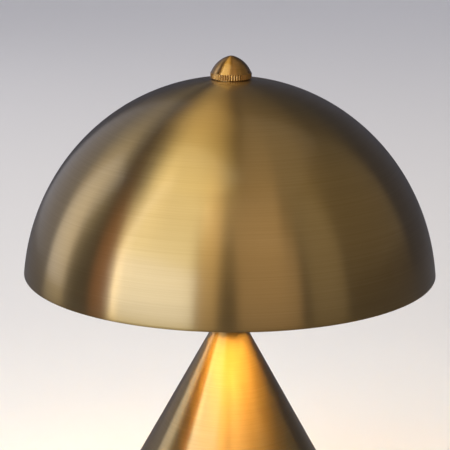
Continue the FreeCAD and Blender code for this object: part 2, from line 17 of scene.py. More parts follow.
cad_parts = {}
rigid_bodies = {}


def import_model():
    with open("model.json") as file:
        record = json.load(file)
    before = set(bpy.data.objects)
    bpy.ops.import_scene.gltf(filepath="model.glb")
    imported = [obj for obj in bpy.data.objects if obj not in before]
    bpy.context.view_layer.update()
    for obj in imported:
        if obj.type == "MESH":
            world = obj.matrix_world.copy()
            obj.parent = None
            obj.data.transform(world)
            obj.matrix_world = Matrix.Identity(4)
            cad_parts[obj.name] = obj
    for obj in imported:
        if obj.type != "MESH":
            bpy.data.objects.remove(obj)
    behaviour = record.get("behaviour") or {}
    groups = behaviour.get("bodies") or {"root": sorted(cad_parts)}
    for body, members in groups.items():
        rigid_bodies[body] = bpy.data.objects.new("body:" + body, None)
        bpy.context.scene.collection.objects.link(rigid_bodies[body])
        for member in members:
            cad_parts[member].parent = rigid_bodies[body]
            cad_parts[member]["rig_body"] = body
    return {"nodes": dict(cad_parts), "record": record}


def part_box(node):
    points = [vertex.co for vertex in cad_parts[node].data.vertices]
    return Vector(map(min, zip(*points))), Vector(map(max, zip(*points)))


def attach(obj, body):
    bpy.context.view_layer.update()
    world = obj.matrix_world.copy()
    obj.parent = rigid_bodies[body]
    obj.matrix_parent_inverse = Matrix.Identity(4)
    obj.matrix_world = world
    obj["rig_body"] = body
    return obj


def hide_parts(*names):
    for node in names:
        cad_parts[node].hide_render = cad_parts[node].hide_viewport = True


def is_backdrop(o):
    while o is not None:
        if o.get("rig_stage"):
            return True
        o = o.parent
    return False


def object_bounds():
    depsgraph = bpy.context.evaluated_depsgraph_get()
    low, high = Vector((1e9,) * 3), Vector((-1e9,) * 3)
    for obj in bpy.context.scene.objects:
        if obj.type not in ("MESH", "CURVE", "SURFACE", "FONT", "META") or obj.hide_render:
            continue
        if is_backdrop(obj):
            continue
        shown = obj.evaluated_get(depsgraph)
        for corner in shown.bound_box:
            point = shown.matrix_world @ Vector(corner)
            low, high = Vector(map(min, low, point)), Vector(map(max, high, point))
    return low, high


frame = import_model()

MM = 0.001
FULL_TURN = 2 * math.pi
scene = bpy.context.scene
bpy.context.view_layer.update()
slot_of = {part["node"]: part["material_slot"] for part in frame["record"]["subparts"]}


# %% [markdown]
# ## Measures from the frame
# The frame is in metres and a maker thinks in millimetres. One helper reads a node's box in
# millimetres, so that each new surface takes its place from the part that it stands for.

# %% Read a node's size
def span(node):
    """Lowest and highest corner of a node, in millimetres."""
    low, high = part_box(node)
    return np.array(low) / MM, np.array(high) / MM


rim_z = span("dome_shade")[0][2]
print("rim height:", round(rim_z, 1), "mm")


# %% [markdown]
# ## The camera
# The photograph looks down on the shade a little, from about a metre, through a long lens.
# A camera is three directions and a place. Here the directions are worked out from how far it
# looks down, how far it turns aside and how far it tilts, and then written as a matrix. The six
# values were found by a least-squares fit of the dome's outline to the photograph's.

# %% Place the camera
camera_back = 1083.1        # mm in front of the lamp's axis
camera_over_rim = 311.7     # mm above the rim
camera_down = math.radians(14.456)
camera_aside = math.radians(-0.195)
camera_tilt = math.radians(0.332)
camera_lens = 122.66        # mm, on a sensor 36 mm wide

ahead_flat = Vector((math.sin(camera_aside), math.cos(camera_aside), 0))
right_flat = Vector((math.cos(camera_aside), -math.sin(camera_aside), 0))
ahead = ahead_flat * math.cos(camera_down) - Vector((0, 0, math.sin(camera_down)))
above = ahead_flat * math.sin(camera_down) + Vector((0, 0, math.cos(camera_down)))
right = right_flat * math.cos(camera_tilt) + above * math.sin(camera_tilt)
up = above * math.cos(camera_tilt) - right_flat * math.sin(camera_tilt)

camera = bpy.data.objects.new("camera", bpy.data.cameras.new("camera"))
scene.collection.objects.link(camera)
camera.data.sensor_width = 36.0
camera.data.lens = camera_lens
place = Vector((0, -camera_back, rim_z + camera_over_rim)) * MM
camera.matrix_world = Matrix.Translation(place) @ Matrix((right, up, -ahead)).transposed().to_4x4()
scene.camera = camera
print("camera at", [round(x, 3) for x in place])


# %% [markdown]
# ## From grids of points to a piece
# A surface is worked out as a grid points[i, j], where i goes round the part and j goes along its
# profile. Neighbours in the grid make a face. Where a profile starts or ends on the axis, its
# points fall together at a pole, and they are merged there. A UV map keeps how far each point is
# along the profile, in metres: brushed metal needs that to know which way its scratches run.

# %% Turn grids into a mesh
def grid_mesh(name, *grids):
    """One mesh of several grids. A grid is (points[i, j] in mm, way along the profile in mm, and
    whether the profile closes on itself). Each closes on itself round i."""
    all_points, all_faces, all_uv, first = [], [], [], 0
    for points, along, wrap_profile in grids:
        n_round, n_profile = points.shape[:2]
        steps = n_profile if wrap_profile else n_profile - 1
        i, j = np.meshgrid(np.arange(n_round), np.arange(steps), indexing="ij")
        ring = np.stack([i, i + 1, i + 1, i], -1).reshape(-1, 4)
        station = np.stack([j, j, j + 1, j + 1], -1).reshape(-1, 4)
        closed = np.append(along, along[-1] + np.linalg.norm(points[0, 0] - points[0, -1]))
        all_points.append(points.reshape(-1, 3))
        all_faces.append((ring % n_round) * n_profile + station % n_profile + first)
        all_uv.append(np.stack([closed[station] * MM, ring / n_round], -1))
        first += n_round * n_profile
    mesh = bpy.data.meshes.new(name)
    mesh.from_pydata((np.concatenate(all_points) * MM).tolist(), [], np.concatenate(all_faces).tolist())
    uv = np.concatenate(all_uv).astype(np.float32).ravel()
    mesh.uv_layers.new(name="turning").data.foreach_set("uv", uv)
    return merged(mesh)


def merged(mesh, gap=1e-3 * MM):
    """The mesh with points that fall together made one, and without faces of no area."""
    work = bmesh.new()
    work.from_mesh(mesh)
    bmesh.ops.remove_doubles(work, verts=work.verts, dist=gap)
    bmesh.ops.dissolve_degenerate(work, edges=work.edges, dist=gap)
    work.to_mesh(mesh)
    work.free()
    return mesh


def dress(name, mesh, *nodes, sharp=35, look=None):
    """Puts a mesh in the lamp in place of nodes: it rides on their body and takes their finish,
    or the one named look."""
    mesh.shade_smooth()
    mesh.set_sharp_from_angle(angle=math.radians(sharp))
    piece = bpy.data.objects.new(name, mesh)
    scene.collection.objects.link(piece)
    piece.data.materials.clear()
    piece.data.materials.append(finish(look or slot_of[nodes[0]]))
    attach(piece, frame["nodes"][nodes[0]]["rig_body"])
    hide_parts(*nodes)
    print(f"{name}: {len(mesh.polygons)} faces")
    return piece


# %% [markdown]
# ## Profiles
# A turner's drawing is half a section: radius across, height up. These helpers give its straight
# runs and its arcs as rows of (radius, height), and `joined` puts the rows end to end.

# %% Draw a profile
def run(start, end, count=2):
    """Points on a straight line: start + t (end - start), t from 0 to 1."""
    return np.linspace(start, end, count)


def arc(centre, radii, start, end, count=9):
    """Points on an ellipse: centre + (a cos t, b sin t), t from start to end in degrees."""
    turn = np.radians(np.linspace(start, end, count))
    return np.array(centre) + np.stack([np.cos(turn), np.sin(turn)], -1) * radii


def corner(centre, size, start, count=5):
    """A quarter circle about its centre, from the angle start on, in degrees."""
    return arc(centre, (size, size), start, start + 90, count)


def joined(*rows):
    """Rows of points end to end, with points that repeat left out."""
    points = np.concatenate([np.atleast_2d(row) for row in rows]).astype(float)
    step = np.linalg.norm(np.diff(points, axis=0), axis=1)
    return points[np.append(True, step > 1e-6)]


def ring_profile(inner, outer, low, high, edge=0.2):
    """Section of a flat ring with its four corners rounded by edge."""
    inside, outside, foot, top = inner + edge, outer - edge, low + edge, high - edge
    return joined(corner((outside, foot), edge, 270), corner((outside, top), edge, 0),
                  corner((inside, top), edge, 90), corner((inside, foot), edge, 180))


def rod_profile(radius, low, high, edge=0.3, steps=2):
    """Half section of a solid rod on the axis, with both ends' edges rounded."""
    side = run((radius, low + edge), (radius, high - edge), steps)
    return joined((0, low), corner((radius - edge, low + edge), edge, 270), side,
                  corner((radius - edge, high - edge), edge, 0), (0, high))


# %% [markdown]
# ## Turning
# Carried round the axis, a profile point (r, h) at angle a becomes (r cos a, r sin a, h). Flutes
# and threads are a small change of the radius that depends on the angle, so `ripple` may add one.
# The area inside the profile tells which way it runs, and the surface is always made to face out.
# A part that lies on its side is turned the same way, and its three directions are then exchanged.

# %% Turn a profile
UPRIGHT = np.eye(3)
TO_FRONT = np.array([(1, 0, 0), (0, 0, 1), (0, -1, 0)])    # the axis points to -Y


def turned(profile, around=96, ripple=None, at=(0, 0, 0), lie=UPRIGHT):
    """Grid of a surface of revolution: (r cos a, r sin a, h) in the directions lie, moved by at."""
    r, h = profile.T
    if np.sum(r * np.roll(h, -1) - np.roll(r, -1) * h) <= 0:
        profile = profile[::-1]
        r, h = profile.T
    angle = np.linspace(0, FULL_TURN, around, endpoint=False)[:, None]
    r = r[None] + (ripple(angle, r[None], h[None]) if ripple else 0)
    points = np.stack(np.broadcast_arrays(r * np.cos(angle), r * np.sin(angle), h[None]), -1)
    along = np.append(0, np.cumsum(np.linalg.norm(np.diff(profile, axis=0), axis=1)))
    on_axis = profile[0, 0] == 0 and profile[-1, 0] == 0
    return points @ lie + np.array(at), along, not on_axis


def thread(pitch, depth, low, high, least):
    """Ripple of a screw thread: minus depth times (1/2 - 1/2 cos(2 pi (h / pitch) - a)), only
    between low and high and outside the radius least, and fading over a turn at both ends."""
    def ripple(angle, r, h):
        there = np.clip((h - low) / pitch, 0, 1) * np.clip((high - h) / pitch, 0, 1) * (r > least)
        return -depth * there * (0.5 - 0.5 * np.cos(FULL_TURN * h / pitch - angle))
    return ripple


# %% [markdown]
# ## Bending
# The harp is bent from wire and the saddle from strip. Both are a section carried along a path
# that lies in the lamp's XZ plane. The path is drawn as corners with a bend in each, and the
# section is set square to it at every point.

# %% Carry a section along a path
def bent_path(corners, bends, step=1.5):
    """Points (x, z) of straight runs joined by tangent arcs of the given radii."""
    rows, corners = [corners[0]], np.array(corners, float)
    for before, here, after, radius in zip(corners, corners[1:], corners[2:], bends):
        back = (before - here) / np.linalg.norm(before - here)
        on = (after - here) / np.linalg.norm(after - here)
        half = math.acos(np.clip(back @ on, -1, 1)) / 2
        centre = here + (back + on) / np.linalg.norm(back + on) * radius / math.sin(half)
        first = here + back * radius / math.tan(half) - centre
        last = here + on * radius / math.tan(half) - centre
        sweep = math.pi - 2 * half
        t = np.linspace(0, 1, max(4, int(radius * sweep / step)))[:, None]
        swing = np.sin((1 - t) * sweep) * first + np.sin(t * sweep) * last
        rows.append(centre + swing / math.sin(sweep))
    return joined(*rows, corners[-1])


def carried(path, section):
    """Grid of a section (across, sideways) carried along a path in the XZ plane, its ends closed
    flat: point = path + across N + sideways Y, where N is square to the path."""
    slope = np.gradient(path, axis=0)
    slope /= np.linalg.norm(slope, axis=1)[:, None]
    path, slope = (np.concatenate([a[:1], a, a[-1:]]) for a in (path, slope))
    size = np.ones(len(path))
    size[[0, -1]] = 0
    across = section[:, 0, None] * size
    x = path[:, 0] - slope[:, 1] * across
    z = path[:, 1] + slope[:, 0] * across
    y = np.broadcast_to(section[:, 1, None] * size, x.shape)
    along = np.append(0, np.cumsum(np.linalg.norm(np.diff(path, axis=0), axis=1)))
    return np.stack([x, y, z], -1), along, False


def round_section(radius, count=20):
    """A circle: (r cos a, r sin a)."""
    a = np.linspace(0, FULL_TURN, count, endpoint=False)
    return np.stack([np.cos(a), np.sin(a)], -1) * radius


def strip_section(thickness, width, edge=0.5):
    """A rectangle with rounded corners, round its middle."""
    x, y = thickness / 2 - edge, width / 2 - edge
    return joined(corner((x, y), edge, 0), corner((-x, y), edge, 90),
                  corner((-x, -y), edge, 180), corner((x, -y), edge, 270))


# %% [markdown]
# ## Colours and nodes
# Colours are written as the hex values that a screen shows, and a shader wants them linear.
# One function adds a shader node with its settings and its links, and everything else is built
# from it.

# %% Make colours and nodes
def linear(code):
    """sRGB hex to linear RGBA: c / 12.92 below 0.04045, else ((c + 0.055) / 1.055) ^ 2.4."""
    c = np.array([int(code[i:i + 2], 16) / 255 for i in (0, 2, 4)])
    c = np.where(c <= 0.04045, c / 12.92, ((c + 0.055) / 1.055) ** 2.4)
    return (*c, 1.0)


def add(tree, kind, inputs=None, **settings):
    """Adds a node. inputs maps a socket's name or number to a value, or to a socket to link."""
    node = tree.nodes.new("ShaderNode" + kind)
    for key, value in settings.items():
        setattr(node, key, value)
    for key, value in (inputs or {}).items():
        if isinstance(value, bpy.types.NodeSocket):
            tree.links.new(value, node.inputs[key])
        else:
            node.inputs[key].default_value = value
    return node


def begin(name):
    """A new empty material and its node tree."""
    material = bpy.data.materials.new(name)
    material.use_nodes = True
    material.node_tree.nodes.clear()
    return material, material.node_tree


def close(tree, **inputs):
    """Ends a material with a Principled shader. An underscore in an input's name is a space."""
    named = {key.replace("_", " "): value for key, value in inputs.items()}
    shader = add(tree, "BsdfPrincipled", named)
    add(tree, "OutputMaterial", {"Surface": shader.outputs[0]})


def mottle(tree, size, detail=3.0):
    """Even noise over the piece, with blotches of that size in metres."""
    spot = add(tree, "TexCoord").outputs["Object"]
    noise = add(tree, "TexNoise", {"Vector": spot, "Scale": 1 / size, "Detail": detail})
    return noise.outputs["Fac"]


def between(tree, amount, low, high):
    """A number from low to high, or a colour from hex low to hex high, by an amount from 0 to 1."""
    if isinstance(low, str):
        ends = {"Fac": amount, "Color1": linear(low), "Color2": linear(high)}
        return add(tree, "MixRGB", ends).outputs[0]
    return add(tree, "MapRange", {"Value": amount, "To Min": low, "To Max": high}).outputs[0]


# %% [markdown]
# ## Brushed brass
# The dome, the cone and the dish are sheet brass, spun on a lathe and brushed while they turned,
# then lacquered. The scratches run round the axis, so a highlight is drawn out along the profile,
# across the scratches: that is what makes the upright streaks. The shader does this with its
# anisotropic setting, along the UV map's first direction. Finer streaks of tone and height follow
# the same rings. The real scratches are about 0.1 mm apart. They are drawn about 0.9 mm apart
# here, since finer ones would be lost in the picture. Broad rings vary the roughness, as the
# brush was pressed more or less, and slow clouds of another tone are age. The lacquer is the
# shader's clear coat, which adds a fainter highlight of its own that isn't drawn out.

# %% Brushed brass
scratch_spacing = 0.9 * MM
scratch_turns = 0.16             # part of the circle that one streak lasts, roughly
scratch_height = 0.02 * MM
scratch_pull = 0.97              # how far the scratches draw a highlight out, up to 1
cloud_size = 60 * MM
cloud_share = 0.35               # the most that the aged tone takes over
lacquer_roughness = 0.2


def ring_streaks(tree, spacing, length, detail=2.0):
    """Noise in rings: fine along the profile, long round the axis, with no seam. It is read at
    the point (cos a, sin a) / (2 pi length), and at the way along the profile over spacing."""
    spot = add(tree, "TexCoord").outputs["Object"]
    level = add(tree, "VectorMath", {0: spot, 1: (1, 1, 0)}, operation="MULTIPLY").outputs[0]
    outward = add(tree, "VectorMath", {0: level}, operation="NORMALIZE").outputs[0]
    spread = 1 / (FULL_TURN * length)
    circle = add(tree, "VectorMath", {0: outward, 1: (spread, spread, 0)}, operation="MULTIPLY")
    way = add(tree, "SeparateXYZ", {0: add(tree, "UVMap", uv_map="turning").outputs[0]}).outputs[0]
    fine = add(tree, "Math", {0: way, 1: 1 / spacing}, operation="MULTIPLY").outputs[0]
    stacked = add(tree, "CombineXYZ", {2: fine}).outputs[0]
    vector = add(tree, "VectorMath", {0: circle.outputs[0], 1: stacked}, operation="ADD").outputs[0]
    return add(tree, "TexNoise", {"Vector": vector, "Scale": 1.0, "Detail": detail}).outputs["Fac"]


def brushed_brass(name, dark, light, aged, low, high, grain=0.35):
    """Streaks from the dark to the light tone, clouds of the aged one, roughness from low to high,
    and grain as the strength of the scratches' height."""
    material, tree = begin(name)
    fine = ring_streaks(tree, scratch_spacing, scratch_turns)
    broad = ring_streaks(tree, scratch_spacing * 8, scratch_turns * 2, detail=1.0)
    cloud = between(tree, mottle(tree, cloud_size, detail=2.0), 0.0, cloud_share)
    tone = add(tree, "MixRGB", {"Fac": cloud, "Color1": between(tree, fine, dark, light),
                                "Color2": linear(aged)}).outputs[0]
    relief = add(tree, "Bump", {"Height": fine, "Strength": grain, "Distance": scratch_height})
    tangent = add(tree, "Tangent", direction_type="UV_MAP", uv_map="turning")
    close(tree, Base_Color=tone, Metallic=1.0, Roughness=between(tree, broad, low, high),
          Anisotropic=scratch_pull, Normal=relief.outputs[0], Tangent=tangent.outputs[0],
          Coat_Weight=1.0, Coat_Roughness=lacquer_roughness)
    return material


# %% [markdown]
# ## Turned and plated metal
# Small fittings are turned from bar, and polished or plated. A slight mottle in the roughness is
# enough to keep them from looking like glass.

# %% Small metals
scuff_height = 0.02 * MM
scuff_strength = 0.15


def metal(name, dark, light, low, high, size):
    """Spots of a size, from the dark to the light tone and from the low to the high roughness,
    under scuffs nine times finer."""
    material, tree = begin(name)
    spots = mottle(tree, size)
    scuffs = add(tree, "Bump", {"Height": mottle(tree, size / 9, detail=6.0),
                                "Strength": scuff_strength, "Distance": scuff_height})
    close(tree, Base_Color=between(tree, spots, dark, light), Metallic=1.0,
          Roughness=between(tree, spots, low, high), Normal=scuffs.outputs[0])
    return material


# %% [markdown]
# ## Plastics, felt, iron and fibre board
# None of these shines like metal. Each is a plain colour broken by noise at the size of its own
# grain, and the same noise gives a little height. Felt also has a soft sheen from its loose hairs.

# %% Dull materials
grain_strength = 0.6


def dull(name, dark, light, roughness, size, depth, **inputs):
    """Grain of a size and a depth, from the dark to the light tone. More inputs go to the shader."""
    material, tree = begin(name)
    grain = mottle(tree, size, detail=6.0)
    relief = add(tree, "Bump", {"Height": grain, "Strength": grain_strength, "Distance": depth})
    close(tree, Base_Color=between(tree, grain, dark, light), Roughness=roughness,
          Normal=relief.outputs[0], **inputs)
    return material


# %% [markdown]
# ## Opal glass, lit
# The bulb is on. Its glass is white inside, so the light leaves it evenly, and the whole globe
# glows. A glowing surface is both the look of the bulb and the light under the shade.

# %% Lit opal glass
bulb_glow = 62.0                 # brightness of the glass, where 1 shows as white
glass_cloud = 30 * MM


def opal(name):
    """White glass that glows, its warm tint a little uneven."""
    material, tree = begin(name)
    glow = between(tree, mottle(tree, glass_cloud), "FFF3D6", "FFF8E4")
    close(tree, Base_Color=linear("F4EBDD"), Roughness=0.25, Emission_Color=glow,
          Emission_Strength=bulb_glow)
    return material


# %% [markdown]
# ## A finish for each part
# The record names the finish of each part. Two more stand for brass that was left another way.
# The inside of the dome is as it came from the lathe, with neither brushing nor lacquer, so it
# spreads the bulb's light. The finial is cut from bar, which is redder than the sheet, and the
# tool's marks are left on it.

# %% Name every finish
FINISHES = {
    "brushed_brass": lambda slot: brushed_brass(slot, "AC8F58", "BFA26B", "A8884A", 0.27, 0.34),
    "spun_brass": lambda slot: metal(slot, "B2904A", "C4A15A", 0.45, 0.55, 30 * MM),
    "turned_brass": lambda slot: brushed_brass(slot, "A87B33", "CB9A4A", "9C7230", 0.3, 0.38, grain=0.6),
    "bright_brass": lambda slot: metal(slot, "A98345", "C9A666", 0.16, 0.3, 5 * MM),
    "plated_wire": lambda slot: metal(slot, "A3824A", "C2A265", 0.22, 0.36, 4 * MM),
    "zinc_steel": lambda slot: metal(slot, "9DA0A4", "B9BCBF", 0.3, 0.45, 3 * MM),
    "cast_iron": lambda slot: dull(slot, "1D1D1F", "37373A", 0.7, 2 * MM, 0.4 * MM, Metallic=0.6),
    "black_steel": lambda slot: dull(slot, "101011", "1A1A1B", 0.4, 1 * MM, 0.05 * MM),
    "black_felt": lambda slot: dull(slot, "0E0E0E", "34322F", 0.95, 0.7 * MM, 0.35 * MM,
                                    Sheen_Weight=0.4),
    "black_nylon": lambda slot: dull(slot, "141414", "1D1D1D", 0.5, 0.6 * MM, 0.03 * MM),
    "fibre_board": lambda slot: dull(slot, "4A3423", "6B4C33", 0.8, 0.8 * MM, 0.1 * MM),
    "black_phenolic": lambda slot: dull(slot, "0B0A0A", "171413", 0.22, 5 * MM, 0.02 * MM),
    "bulb_metal": lambda slot: metal(slot, "B9B9B5", "D2D2CF", 0.25, 0.4, 2 * MM),
    "solder": lambda slot: metal(slot, "8E8E8C", "A9A9A6", 0.35, 0.55, 1 * MM),
    "black_glass": lambda slot: dull(slot, "070707", "101010", 0.1, 3 * MM, 0.01 * MM),
    "opal_glass": lambda slot: opal(slot),
}
made = {}


def finish(slot):
    """The material of a slot, made once."""
    if slot not in made:
        made[slot] = FINISHES[slot](slot)
    return made[slot]


for node, obj in frame["nodes"].items():
    obj.data.materials.clear()
    obj.data.materials.append(finish(slot_of[node]))
print("finishes:", len(made))


# %% [markdown]
# ## The dome
# A disc of brass is pressed against a turning former until it is a dome. The outline of this one
# is half an ellipse, cut off a little above its widest line, so the rim still leans in slightly.
# The wall is one millimetre thick, the rim is cut square, and there is a hole at the top. Only
# its outside was brushed and lacquered, so the faces that look towards the axis get the finish
# of bare spun brass.

# %% Spin the dome
rim_radius = 150.0
rim_above_equator = 15.4
dome_height = 140.8
shade_wall = 1.0
shade_hole = 3.6
rim_round = 0.35


def dome_side(inset, steps):
    """Ellipse r = a cos t, h = h0 + b sin t, from just above the rim up to the hole."""
    b = dome_height + rim_above_equator
    a = rim_radius / math.sqrt(1 - (rim_above_equator / b) ** 2) - inset
    b -= inset
    start = math.degrees(math.asin((rim_above_equator + rim_round) / b))
    end = math.degrees(math.acos(shade_hole / a))
    return arc((0, rim_z - rim_above_equator), (a, b), start, end, steps)


def dome_profile():
    """Up the outside, over the hole's edge, down the inside, and round the cut rim."""
    outside, inside = dome_side(0, 150), dome_side(shade_wall, 110)[::-1]
    inner_edge, outer_edge = inside[-1], outside[0]
    return joined(outside, inside,
                  corner((inner_edge[0] + rim_round, inner_edge[1]), rim_round, 180),
                  corner((outer_edge[0] - rim_round, outer_edge[1]), rim_round, 270))


dome = dress("spun_dome", grid_mesh("spun_dome", turned(dome_profile(), 360)), "dome_shade")

# %% Leave the dome's inside as spun
dome.data.materials.append(finish("spun_brass"))
centres, facings = (np.zeros(3 * len(dome.data.polygons), np.float32) for _ in range(2))
dome.data.polygons.foreach_get("center", centres)
dome.data.polygons.foreach_get("normal", facings)
inward = ((centres * facings).reshape(-1, 3)[:, :2].sum(1) < 0).astype(np.int32)
dome.data.polygons.foreach_set("material_index", inward)
print("faces left as spun:", inward.sum())


# %% [markdown]
# ## The cone
# The base is spun from the same sheet, over a cone. Its top is flat, with a hole for the tube, and
# its lower edge is open: the felt stands a little proud of it. A hole is drilled through its back
# for the cord's bushing. A drilled hole is the one thing that a turned grid can't have, so a
# round cutter is taken away from the mesh with a Boolean.

# %% Spin the cone and drill it
base_radius = 108.0
cone_wall = 1.1
cone_lean = math.radians(28.35)
neck_radius = 10.6
neck_inset, neck_round = 1.1, (1.45, 1.0)     # the rounded edge between the side and the top
tube_hole = 5.05
inlet_radius = 5.6
inlet_reach = (-125, -80)        # the drill's ends along Y, at the cone's back
drill_edge = 0.01                # a drill's edges stay all but sharp


def cone_profile():
    """Straight side h = h0 + (R - r) / tan(lean), a small round at the neck, and the flat top."""
    low, high = (end[2] for end in span("base_cone"))
    out = cone_wall / math.cos(cone_lean)
    under = high - cone_wall
    inner_neck = neck_radius - out + cone_wall * math.tan(cone_lean)
    neck = arc((neck_radius - neck_inset, high - neck_round[1]), neck_round, 28, 90, 6)
    return joined(run((base_radius, low), neck[0], 120), neck,
                  run((tube_hole, high), (tube_hole, under)),
                  run((inner_neck, under), (base_radius - out, low), 40))


def drilled(mesh, cutter):
    """The mesh with the closed mesh cutter taken away from it."""
    body, drill = bpy.data.objects.new("body", mesh), bpy.data.objects.new("drill", cutter)
    scene.collection.objects.link(body)
    scene.collection.objects.link(drill)
    cut = body.modifiers.new("drill", "BOOLEAN")
    cut.object, cut.operation, cut.solver = drill, "DIFFERENCE", "EXACT"
    seen = body.evaluated_get(bpy.context.evaluated_depsgraph_get())
    result = bpy.data.meshes.new_from_object(seen)
    bpy.data.objects.remove(body)
    bpy.data.objects.remove(drill)
    return result


inlet_low, inlet_high = span("cord_bushing")
inlet_z = (inlet_low[2] + inlet_high[2]) / 2
inlet_rod = rod_profile(inlet_radius, *inlet_reach, drill_edge)
inlet_drill = grid_mesh("inlet_drill", turned(inlet_rod, 48, at=(0, 0, inlet_z), lie=TO_FRONT))
cone_mesh = drilled(grid_mesh("spun_cone", turned(cone_profile(), 320)), inlet_drill)
dress("spun_cone", cone_mesh, "base_cone")


# %% [markdown]
# ## The finial
# The finial is turned from bar: a band with straight flutes, so that fingers can grip it, under a
# cap that comes to a blunt point. The flutes are a ripple of the radius, 48 to the turn, that
# fades at the edges of the band. The band stands a little clear of the dome, on a narrow ring,
# and inside that ring are the recess for the washer and the bore for the stud.

# %% Turn the finial
finial_radius = 14.76
flutes = 48
flute_depth = 0.42
cap_height = 11.8
cap_foot = 14.35
cap_bulge = 1.85
tip_radius, tip_drop = 2.2, 0.35
bore_radius, bore_depth = 3.05, 9.0
recess_radius, ring_radius = 12.1, 12.9
foot_round, top_round = 0.3, 0.25             # at the two edges of the band
finial_low, finial_high = (end[2] for end in span("finial"))
band_top = finial_high - cap_height
band_foot = finial_low + 0.45


def cap_curve(steps=34):
    """Side of the cap: from the chord out by 4 bulge t (1 - t), then a small round tip."""
    foot, tip = np.array((cap_foot, band_top)), np.array((tip_radius, finial_high - tip_drop))
    chord = tip - foot
    outward = np.array((chord[1], -chord[0])) / np.linalg.norm(chord)
    t = np.linspace(0, 1, steps)[:, None]
    side = foot + t * chord + 4 * cap_bulge * t * (1 - t) * outward
    end = np.linspace(1, 0, 6)[1:, None]
    return joined(side, np.concatenate([tip_radius * end, finial_high - tip_drop * end ** 2], 1))


def finial_profile():
    """Up the bore and down its recess, out over the dome, up the fluted band, and the cap."""
    recess_top = span("finial_washer")[1][2] + 0.1
    bore_top = recess_top + bore_depth
    side_foot, side_top = band_foot + foot_round, band_top - top_round
    return joined((0, bore_top), run((bore_radius, bore_top), (bore_radius, recess_top)),
                  run((recess_radius, recess_top), (recess_radius, finial_low)),
                  run((ring_radius, finial_low), (ring_radius, band_foot)),
                  run((finial_radius - foot_round, band_foot), (finial_radius, side_foot)),
                  run((finial_radius, side_foot), (finial_radius, side_top), 12),
                  (finial_radius - 0.2, band_top), cap_curve())


def flute(angle, r, h):
    """Radius change: minus depth times (1 - |sin(flutes a / 2)|), only on the band. That gives
    rounded ridges with a sharp groove between them."""
    on_band = np.clip((h - band_foot) / foot_round, 0, 1) * np.clip((band_top - h) / top_round, 0, 1)
    groove = 1 - np.abs(np.sin(flutes / 2 * angle))
    return -flute_depth * groove * on_band * (r > finial_radius - 0.5)


dress("turned_finial", grid_mesh("turned_finial", turned(finial_profile(), flutes * 16, flute)),
      "finial", sharp=50, look="turned_brass")


# %% [markdown]
# ## Washers
# A felt washer lies under the dome, and a fibre one is held in the finial's recess. Each is cut
# from sheet with a punch, so it is a plain ring. The soft felt's edges come out rounder.

# %% Cut the washers
stud_radius = 3.0
washer_hole = stud_radius + 0.05


def ring_grid(node, edge):
    """A ring for the stud, as wide and as high as a node's box."""
    low, high = span(node)
    return turned(ring_profile(washer_hole, (high[0] - low[0]) / 2, low[2], high[2], edge))


dress("felt_washer", grid_mesh("felt_washer", ring_grid("shade_seat_washer", 0.3)),
      "shade_seat_washer")
dress("fibre_washer", grid_mesh("fibre_washer", ring_grid("finial_washer", 0.2)), "finial_washer")


# %% [markdown]
# ## The harp
# The harp is one length of brass-plated wire, bent on pegs: two straight legs, a knee where each
# spreads round the bulb, a wide shoulder, and a straight top. A turned fitting sits on the top
# wire. Its platform carries the shade, and its threaded stud takes the finial.

# %% Bend the harp and turn its fitting
wire_radius = 2.0
harp_low, harp_high = span("harp_wire")
harp_foot_x = (span("harp_sleeve_right")[0][0] + span("harp_sleeve_right")[1][0]) / 2
harp_side_x = harp_high[0] - wire_radius
harp_top_z = harp_high[2] - wire_radius
leg_height, knee_height = 25.0, 34.0
knee_bend, shoulder_bend = 16.0, 44.0
knee_z = harp_low[2] + leg_height

leg = [(harp_foot_x, harp_low[2]), (harp_foot_x, knee_z), (harp_side_x, knee_z + knee_height),
       (harp_side_x, harp_top_z)]
other_leg = [(-x, z) for x, z in reversed(leg)]
bends = [knee_bend, knee_bend, shoulder_bend]
wire_path = bent_path(leg + other_leg, bends + bends[::-1])
dress("bent_harp", grid_mesh("bent_harp", carried(wire_path, round_section(wire_radius))), "harp_wire")

fitting_low, fitting_high = span("harp_top_fitting")
platform_z = span("shade_seat_washer")[0][2]
block_radius, platform_radius, platform_thickness = 5.0, 11.0, 2.0
waist_radii = (1.9, 2.2)         # of the groove that the wire lies in
fitting_edge = 0.4
stud_thread = thread(1.0, 0.32, platform_z + 1.2, fitting_high[2], stud_radius - 0.05)


def fitting_profile():
    """A waisted block, the platform and the stud."""
    low, high, edge = fitting_low[2], fitting_high[2], fitting_edge
    waist = arc((block_radius + 1.4, harp_top_z), waist_radii, 250, 110, 9)
    under = platform_z - platform_thickness
    return joined((0, low), corner((block_radius - edge, low + edge), edge, 270), waist,
                  (block_radius, under - 0.6),
                  corner((platform_radius - edge, under + edge), edge, 270),
                  corner((platform_radius - edge, platform_z - edge), edge, 0),
                  run((stud_radius, platform_z), (stud_radius, high - 0.5), 110),
                  (stud_radius - 0.5, high), (0, high))


dress("turned_fitting", grid_mesh("turned_fitting", turned(fitting_profile(), 72, stud_thread)),
      "harp_top_fitting")


# %% [markdown]
# ## The saddle and its ferrules
# The harp's feet slide on to two posts on a strip of bent brass, and a ferrule drops over each
# joint to lock it. The strip lies under the socket and its arms climb clear of the dish.

